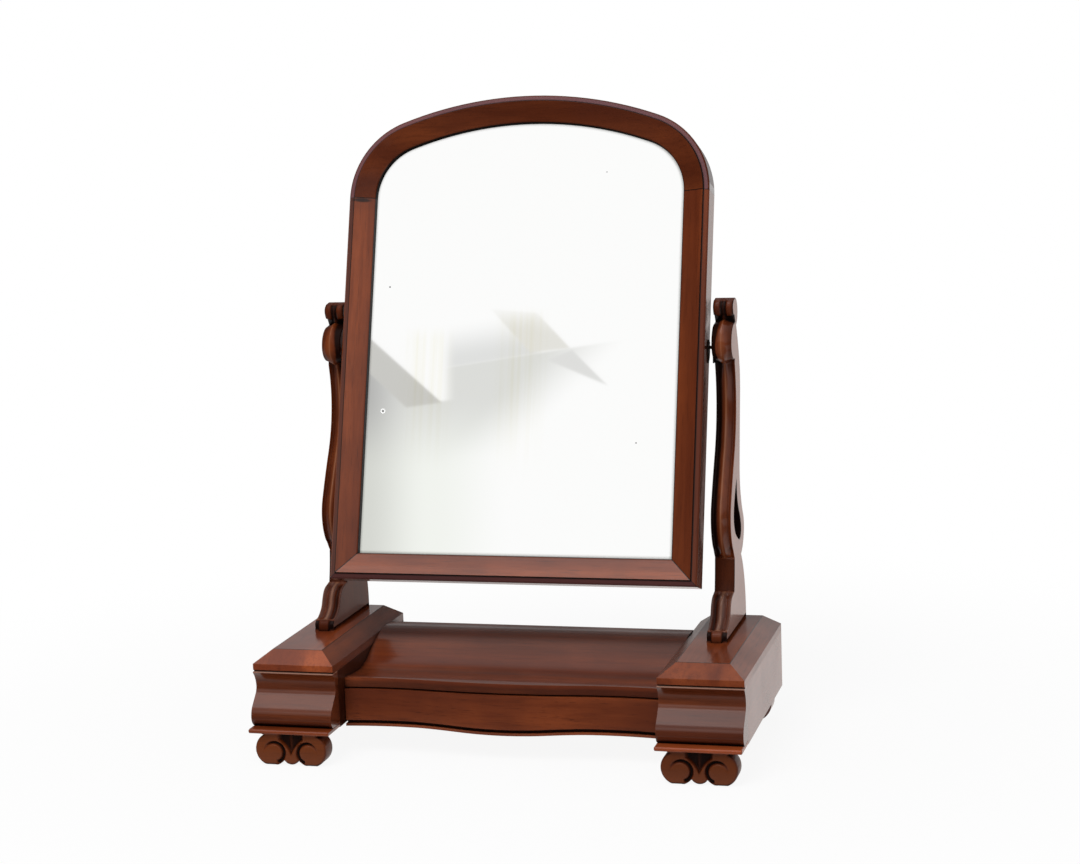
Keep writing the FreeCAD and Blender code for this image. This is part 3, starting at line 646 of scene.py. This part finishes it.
def foot_relief(x, z):
    """Depth of the carving on a front foot at a place from its middle, mm behind the face, and how dark it is
    drawn: painted shade and grime in its grooves and hollows.
    """
    x = abs(x)
    ex, ez = x - EYE_X, z - EYE_Z
    reach = math.hypot(ex, ez)
    angle = math.degrees(math.atan2(ez, -ex))
    along = (angle + 78) % 360
    fade = ramp(along, 0, 12) * (1 - ramp(along, 165, 262))
    wide = 3.6 - 1.7 * ramp(along, 110, 250)
    groove = 3.7 * fade * hump(reach, 13.0 + 0.9 * ramp(along, 100, 250), wide)
    dome = 1.2 * (min(reach, 12.0) / 12.0) ** 3 * fade
    flank = min(19.0, 17.6 * max(0.0, (z - 7.0) / 26.4) ** 2.0)
    rib = 1.4 * (1 - ramp(x, 0.0, 3.6)) * ramp(flank - x, 0.0, 3.0)
    hollow = 6.0 * ramp(flank - x, 0.0, 2.4 + 0.2 * flank) - rib
    return groove + dome + hollow, groove * 1.2 + hollow * 0.62


def foot_outline():
    """The double scroll seen from the front: two rounds and a drop between, flat under the plinth."""
    points = []
    for number in range(FOOT_STEPS):
        angle = math.tau * number / FOOT_STEPS
        way = Vector((math.cos(angle), math.sin(angle)))
        best = 0.0
        for cx, cz, radius in FOOT_ROUNDS:
            away = Vector((cx, cz - FOOT_CENTRE_Z))
            along = away.dot(way)
            off = radius ** 2 - (away.length_squared - along ** 2)
            if off > 0:
                best = max(best, along + math.sqrt(off))
        if way.y > 0.02:
            lid = (LID_Z - FOOT_CENTRE_Z) / way.y
            if abs(lid * way.x) < LID_HALF_X:
                best = max(best, lid)
        x, z = way.x * best, way.y * best + FOOT_CENTRE_Z
        points.append((x, min(LID_Z, max(0.0, z))))
    return points


def carved_foot(side):
    """A front foot: its face carved over a fine mesh, its edge rounded and run back to a plain rear face."""
    outline = foot_outline()
    ring = numpy.array(outline)
    middle = PEDESTAL_MID_X if side == "right" else -PEDESTAL_MID_X
    xs, zs = numpy.meshgrid(numpy.arange(-49.0, 49.1, FOOT_GRID), numpy.arange(0.4, 42.4, FOOT_GRID))
    inner = numpy.column_stack((xs.ravel(), zs.ravel()))
    gap = numpy.sqrt(((inner[:, None, :] - ring[None, ::2, :]) ** 2).sum(axis=2)).min(axis=1)
    inner = inner[gap > 0.55]
    count = len(outline)
    places = [Vector(point) for point in outline] + [Vector(point) for point in inner]
    loop = [(number, (number + 1) % count) for number in range(count)]
    verts, _, faces, *_ = delaunay_2d_cdt(places, loop, [], 1, 1e-4)
    bm = bmesh.new()
    hollow = bm.verts.layers.float.new("hollow")
    front = []
    for place in verts:
        near = float(numpy.sqrt(((ring - numpy.array(place)) ** 2).sum(axis=1)).min())
        edge = 0.0
        if near < FOOT_EDGE and place.y <= 40.5:
            edge = FOOT_EDGE - math.sqrt(max(0.0, FOOT_EDGE ** 2 - (FOOT_EDGE - near) ** 2))
        relief, shade_and_grime = foot_relief(place.x, place.y)
        inside = ramp(near, 0.0, 2.2)
        made = bm.verts.new((middle + place.x, relief * inside + edge - FOOT_FRONT_Y - CENTRE_Y, place.y))
        made[hollow] = shade_and_grime * inside + 0.9 * (1 - ramp(near, 0.0, 4.0))
        front.append(made)
    for three in faces:
        bm.faces.new([front[corner] for corner in three]).smooth = True
    rear = []
    for corner in front[:count]:
        made = bm.verts.new((corner.co.x, -FOOT_REAR_Y - CENTRE_Y, corner.co.z))
        made[hollow] = corner[hollow]
        rear.append(made)
    for here, there in loop:
        bm.faces.new((front[here], rear[here], rear[there], front[there]))
    rim = [edge for edge in bm.edges if edge.is_boundary]
    bmesh.ops.triangle_fill(bm, use_beauty=True, edges=rim)
    return finish_piece(bm, side + "_carved_foot")


def finish_piece(bm, name):
    """Turns worked geometry in millimetres into a closed object in metres."""
    bmesh.ops.recalc_face_normals(bm, faces=bm.faces)
    bmesh.ops.scale(bm, vec=(MM, MM, MM), verts=bm.verts)
    mesh = bpy.data.meshes.new(name)
    bm.to_mesh(mesh)
    bm.free()
    mesh.set_sharp_from_angle(angle=math.radians(50))
    return put(name, mesh)


def fit_carving(finishes):
    """Puts the carved uprights and front feet in the places of the plain ones."""
    for side in ("left", "right"):
        pieces = ((carved_upright(side), side + "_upright"), (carved_foot(side), side + "_front_foot"))
        for made, node in pieces:
            made.data.materials.append(finishes[node])
            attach(made, "base")
            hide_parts(node)


# ---- screws -----------------------------------------------------------------------------------
SCREW_INPUTS = (("Count", "NodeSocketInt", 2), ("Head Radius", "NodeSocketFloat", 0.003),
                ("Head Height", "NodeSocketFloat", 0.0008), ("Facing", "NodeSocketVector", (0, 1, 0)),
                ("Seed", "NodeSocketInt", 0), ("Finish", "NodeSocketMaterial", None))

# The arch, and where the screws are, mm: in from the frame's outline and back; out from the frame's side and
# up from the pivot; and on the socket plate's face and up from the pivot.
ARCH_SHOULDER, ARCH_CROWN = 110.0, 340.0
ARC_STEPS = 12
BACKBOARD_SCREWS_IN, BACKBOARD_DEPTH = 24.6, 9.0
PIVOT_PLATE_OUT = 1.4
PIVOT_PLATE_SCREWS = (-13.5, 6.0)
SOCKET_PLATE_X = 255.5
SOCKET_PLATE_SCREWS = (-15.5, -7.5)


def screw_tree():
    """A slotted countersunk screw at even steps along the line that it is given."""
    tree = bpy.data.node_groups.new("slotted_screws", "GeometryNodeTree")
    tree.interface.new_socket("Lines", in_out="INPUT", socket_type="NodeSocketGeometry")
    tree.interface.new_socket("Screws", in_out="OUTPUT", socket_type="NodeSocketGeometry")
    sizes = {}
    for name, kind, value in SCREW_INPUTS:
        made = tree.interface.new_socket(name, in_out="INPUT", socket_type=kind)
        sizes[name] = made.identifier
        if value is not None:
            made.default_value = value
    g = Shader.over(tree)
    given = {name: g.node("NodeGroupInput", out=name) for name in (*sizes, "Lines")}
    radius, height = given["Head Radius"], given["Head Height"]
    head = g.node("GeometryNodeMeshCone", {"fill_type": "NGON"},
                  {"Vertices": 24, "Radius Top": radius * 0.86, "Radius Bottom": radius, "Depth": height * 2})
    slot_size = g.node("ShaderNodeCombineXYZ", {}, {0: radius * 0.24, 1: radius * 3, 2: height * 1.6})
    slot = g.node("GeometryNodeMeshCube", {}, {"Size": slot_size})
    top = g.node("ShaderNodeCombineXYZ", {}, {2: height * 2})
    raised = g.node("GeometryNodeTransform", {}, {"Geometry": slot, "Translation": top})
    screw = g.node("GeometryNodeMeshBoolean", {"operation": "DIFFERENCE", "solver": "EXACT"},
                   {"Mesh 1": head, "Mesh 2": raised})
    lines = g.node("GeometryNodeMeshToCurve", {}, {"Mesh": given["Lines"]})
    steps = g.node("GeometryNodeResampleCurve", {}, {"Curve": lines, "Count": given["Count"]})
    points = g.node("GeometryNodeCurveToPoints", {"mode": "EVALUATED"}, {"Curve": steps})
    turned = g.node("FunctionNodeAlignRotationToVector", {"axis": "Z"}, {"Vector": given["Facing"]})
    driven = g.node("FunctionNodeRandomValue", {"data_type": "FLOAT_VECTOR"},
                    {"Min": (0, 0, 0), "Max": (0, 0, math.pi), "Seed": given["Seed"]})
    placed = g.node("GeometryNodeInstanceOnPoints", {},
                    {"Points": points, "Instance": screw, "Rotation": turned})
    spun = g.node("GeometryNodeRotateInstances", {},
                  {"Instances": placed, "Rotation": driven, "Local Space": True})
    real = g.node("GeometryNodeRealizeInstances", {}, {"Geometry": spun})
    done = g.node("GeometryNodeSetMaterial", {}, {"Geometry": real, "Material": given["Finish"]})
    g.node("NodeGroupOutput", {}, {0: done})
    return tree, sizes


def drive_screws(name, body, line, tree, sizes, **values):
    """Runs screws along a line of points in metres, as one plain mesh that rides on a body."""
    mesh = bpy.data.meshes.new(name)
    mesh.from_pydata(line, [(number, number + 1) for number in range(len(line) - 1)], [])
    made = put(name, mesh)
    modifier = made.modifiers.new("screws", "NODES")
    modifier.node_group = tree
    for key, value in values.items():
        modifier[sizes[key.replace("_", " ")]] = value
    seen = made.evaluated_get(bpy.context.evaluated_depsgraph_get())
    plain = bpy.data.meshes.new_from_object(seen)
    plain.materials.pop(index=0)
    made.modifiers.clear()
    made.data = plain
    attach(made, body)


def in_place(x, depth, up):
    """From the mirror's own plane in millimetres to the object in metres."""
    return PIVOT + Matrix.Rotation(-TILT, 3, "X") @ Vector((x, depth, up)) * MM


def arc(middle, radius, start, end, first=0):
    """Even steps along an arc, in the mirror's own plane."""
    turns = [start + (end - start) * number / ARC_STEPS for number in range(first, ARC_STEPS + 1)]
    return [(middle[0] + radius * math.cos(turn), middle[1] + radius * math.sin(turn)) for turn in turns]


def board_line(inset, depth):
    """The line of the backboard's screws: the frame's arched outline drawn in by an inset."""
    run, rise = FRAME_HALF_W - ARCH_SHOULDER, ARCH_CROWN - SPRING
    large = (run ** 2 + rise ** 2 - ARCH_SHOULDER ** 2) / (2 * (rise - ARCH_SHOULDER))
    turn = math.atan2(SPRING - (ARCH_CROWN - large), run)
    low = inset - FRAME_BELOW
    points = [(0, low), (FRAME_HALF_W - inset, low)]
    points += arc((run, SPRING), ARCH_SHOULDER - inset, 0.0, turn)
    points += arc((0, ARCH_CROWN - large), large - inset, turn, math.pi / 2, first=1)
    points += [(-x, up) for x, up in reversed(points[:-1])]
    return [in_place(x, depth, up) for x, up in points]


def fit_screws(iron):
    """Screws of the backboard, the pivot plates and the socket plates."""
    tree, sizes = screw_tree()
    back = Matrix.Rotation(-TILT, 3, "X") @ Vector((0, 1, 0))
    board = board_line(BACKBOARD_SCREWS_IN, BACKBOARD_DEPTH)
    drive_screws("backboard_screws", "mirror", board, tree, sizes, Count=23, Head_Radius=0.0027,
                 Head_Height=0.0005, Facing=back, Seed=3, Finish=iron)
    for name, way in (("left", -1), ("right", 1)):
        plate_x = way * (FRAME_HALF_W + PIVOT_PLATE_OUT)
        plate = [in_place(plate_x, 0, up) for up in PIVOT_PLATE_SCREWS]
        drive_screws(name + "_pivot_plate_screws", "mirror", plate, tree, sizes, Count=2,
                     Head_Radius=0.0017, Head_Height=0.0003, Facing=(way, 0, 0), Seed=5 + way, Finish=iron)
        plate_x = way * SOCKET_PLATE_X * MM
        plate = [Vector((plate_x, PIVOT.y, PIVOT.z + up * MM)) for up in SOCKET_PLATE_SCREWS]
        drive_screws(name + "_socket_plate_screws", "base", plate, tree, sizes, Count=2,
                     Head_Radius=0.0019, Head_Height=0.0003, Facing=(-way, 0, 0), Seed=8 + way, Finish=iron)


# ---- camera, light and stage ------------------------------------------------------------------
# The view point in radians, metres and pixels.
AZIMUTH, ELEVATION, ROLL = 0.281121, 0.162122, -0.039903
EYE = Vector((0.7943, -2.8260, 0.8764))
FOCAL_PX, CENTRE_PX = 2261.288, (498.312, 445.884)
WIDTH_PX, HEIGHT_PX = 1080, 864


def set_camera():
    """Puts the camera at the view point: to the right, a little above and rolled."""
    back = Vector((math.sin(AZIMUTH) * math.cos(ELEVATION), -math.cos(AZIMUTH) * math.cos(ELEVATION),
                   math.sin(ELEVATION)))
    level = Vector((math.cos(AZIMUTH), math.sin(AZIMUTH), 0))
    above = back.cross(level)
    right = math.cos(ROLL) * level + math.sin(ROLL) * above
    up = -math.sin(ROLL) * level + math.cos(ROLL) * above
    data = bpy.data.cameras.new("view")
    data.sensor_width = 36.0
    data.lens = FOCAL_PX / WIDTH_PX * data.sensor_width
    data.shift_x = (WIDTH_PX / 2 - CENTRE_PX[0]) / WIDTH_PX
    data.shift_y = (CENTRE_PX[1] - HEIGHT_PX / 2) / WIDTH_PX
    data.clip_end = 50.0
    camera = put("view", data)
    turn = Matrix((right, up, back)).transposed().to_4x4()
    camera.matrix_world = Matrix.Translation(EYE) @ turn
    bpy.context.scene.camera = camera


def lay_floor():
    """The wide floor, a hair under the feet."""
    reach, level = 15, -0.0005
    corners = [(-reach, -reach, level), (reach, -reach, level), (reach, reach, level), (-reach, reach, level)]
    mesh = bpy.data.meshes.new("floor")
    mesh.from_pydata(corners, [], [(0, 1, 2, 3)])
    mesh.materials.append(white_floor())
    made = put("floor", mesh)


def white_floor():
    """White to the eye, keeping a faint shadow; in polish it is bright behind the piece and dim before it."""
    s = Shader(bpy.data.materials.new("white_floor"))
    direct = s.node("ShaderNodeLightPath", out=0)
    glossy = s.node("ShaderNodeLightPath", out=3)
    where = s.node("ShaderNodeTexCoord", out=3)
    far_left = s.smooth(s.part(where, 0), -0.2, 0.2, 0.6, 0.0) * s.smooth(s.part(where, 1), 0.2, 0.8)
    near = s.smooth(s.part(where, 1), -0.30, -0.12, 0.10, 0.80) * (1 - far_left)
    near = s.most(near, s.smooth(s.part(where, 0), 1.0, 1.5, 0.0, 0.8))
    matt = s.node("ShaderNodeBsdfDiffuse", {}, {"Color": rgb(0.8, 0.8, 0.8)})
    tint = s.mix(glossy, WHITE, rgb(1, 0.91, 0.88))
    glow = s.node("ShaderNodeEmission", {}, {"Color": tint, "Strength": direct + glossy * near})
    shown = direct * s.smooth(s.distance(where, (0, 0, 0)), 0.35, 1.3, 0.91, 1.0)
    return s.end(s.node("ShaderNodeMixShader", {}, {0: shown + glossy, 1: matt, 2: glow}))


# The room that the glass looks at from the view point. Its places are given across and above the line
# straight ahead, in thousandths of the distance ahead; each roof beam is a colour and its corners,
# anticlockwise.
GLASS_RIGHT = (0.96177, -0.24545, 0.12149)
GLASS_UP = (-0.00642, 0.42329, 0.90597)
GLASS_BACK = (0.27379, 0.87211, -0.40553)
BEAMS = (
    (rgb(0.60, 0.595, 0.57), ((-95, 81.8), (-95, 67.4), (-40.8, 17.0), (-25.1, 19.2))),
    (rgb(0.79, 0.78, 0.74), ((-3.2, 60.5), (14.0, 41.3), (31.7, 43.3), (17.1, 58.8))),
    (rgb(0.75, 0.75, 0.74), ((21.5, 38.0), (48.1, 26.9), (32.6, 42.4))),
)


def beamed_room(s, way):
    """The pale ceiling, beams and wall that the leaning glass looks at, by direction."""
    ahead = s.most(s.dot(way, GLASS_BACK) * -1, 0.05)
    across = s.node("ShaderNodeMath", {"operation": "DIVIDE"}, {0: s.dot(way, GLASS_RIGHT) * 1000, 1: ahead})
    above = s.node("ShaderNodeMath", {"operation": "DIVIDE"}, {0: s.dot(way, GLASS_UP) * 1000, 1: ahead})
    right_part = s.smooth(across, -26.0, -18.5)
    near_top = s.most(across * -0.93 - 20.1, across * 0.14 + 23.5)
    far_top = across * 0.156 + 38.4
    under_near = s.smooth(above - near_top, -0.8, 0.4, 1.0, 0.0) * (1 - right_part)
    under_far = s.smooth(above - far_top, -0.6, 0.4, 1.0, 0.0) * right_part
    over_far = s.smooth(above - far_top, -0.4, 0.4) * s.smooth(above - far_top, 2.0, 20.0, 1.0, 0.0)
    over_far = over_far * right_part
    room = s.mix(s.smooth(across, 15, 22, 1.0, 0.0) * over_far, WHITE, rgb(0.76, 0.765, 0.76))
    wall = s.mix(s.smooth(across, -64, -36), rgb(0.43, 0.43, 0.425), rgb(0.735, 0.74, 0.72))
    low_wall = s.mix(s.smooth(across, -60, -30), rgb(0.71, 0.722, 0.68), rgb(0.93, 0.95, 0.91))
    wall = s.mix(s.smooth(above, -14, 24, 0.9, 0.0), wall, low_wall)
    wall = s.mix(s.smooth(across - s.most(above, -5), -25, 12), wall, WHITE)
    room = s.mix(under_near + under_far, room, wall)
    for colour, corners in BEAMS:
        inside = 1.0
        for (x0, y0), (x1, y1) in zip(corners, corners[1:] + corners[:1]):
            length = math.hypot(x1 - x0, y1 - y0)
            off = (above - y0) * ((x1 - x0) / length) - (across - x0) * ((y1 - y0) / length)
            inside = inside * s.smooth(off, -0.5, 0.5)
        room = s.mix(inside * s.smooth(above, 48, 65, 1.0, 0.0), room, colour)
    window = s.smooth(across, -150, -110) * s.smooth(across, 110, 150, 1.0, 0.0) * s.smooth(above, -80, -50)
    return room, window * s.smooth(above, 170, 230, 1.0, 0.0)


def white_world():
    """White to the eye; soft for light; in polish a pale room with roof beams, dim to the left and behind."""
    s = Shader(bpy.data.worlds.new("studio"))
    direct = s.node("ShaderNodeLightPath", out=0)
    glossy = s.node("ShaderNodeLightPath", out=3)
    way = s.node("ShaderNodeTexCoord", out=0)
    x, y, z = (s.part(way, number) for number in range(3))
    room, window = beamed_room(s, way)
    behind = s.smooth(y, -0.2, 0.2)
    left_back = s.smooth(x, -0.15, 0.10, 1.0, 0.0)
    dimmed = left_back * s.smooth(z, 0.02, 0.15, 0.88, 0.25)
    backdrop = behind * s.smooth(z, 0.19, 0.29, 0.82, 0.0) * (1 - dimmed)
    front = (1 - behind) * s.smooth(z, 0.17, 0.34) * s.smooth(x, -0.72, -0.60) * 0.52
    overhead = s.smooth(z, 0.60, 0.92) * 0.80
    lantern = s.smooth(s.dot(way, (-0.19, -0.32, 0.928)), 0.930, 0.985) * 2.0
    lit = backdrop
    for other in (front, overhead, lantern, window * (1 - behind)):
        lit = s.most(lit, other)
    soft = 0.42
    level = direct + (1 - direct) * (glossy * (lit * 0.9 + 0.1) + (1 - glossy) * soft)
    bright = s.node("ShaderNodeBackground", {}, {"Color": s.mix(glossy, WHITE, room), "Strength": level})
    bpy.context.scene.world = s.end(bright, "ShaderNodeOutputWorld")


def lamp(name, place, target, size, power):
    """A square soft light that polish doesn't show."""
    data = bpy.data.lights.new(name, "AREA")
    data.shape = "SQUARE"
    data.size = size
    data.energy = power
    made = put(name, data)
    made.location = place
    made.rotation_euler = (Vector(target) - Vector(place)).to_track_quat("-Z", "Y").to_euler()
    made.visible_glossy = False


def set_stage():
    lay_floor()
    white_world()
    lamp("high_light", (-0.45, -2.0, 3.0), (0, 0, 0.3), 1.7, 78)
    lamp("front_light", (1.4, -3.2, 2.2), (0, 0, 0.3), 1.2, 10)
    bpy.context.scene.view_settings.view_transform = "Standard"


def main():
    iron = dark_iron()
    finishes = dress_nodes(iron)
    fit_carving(finishes)
    fit_screws(iron)
    set_camera()
    set_stage()


main()
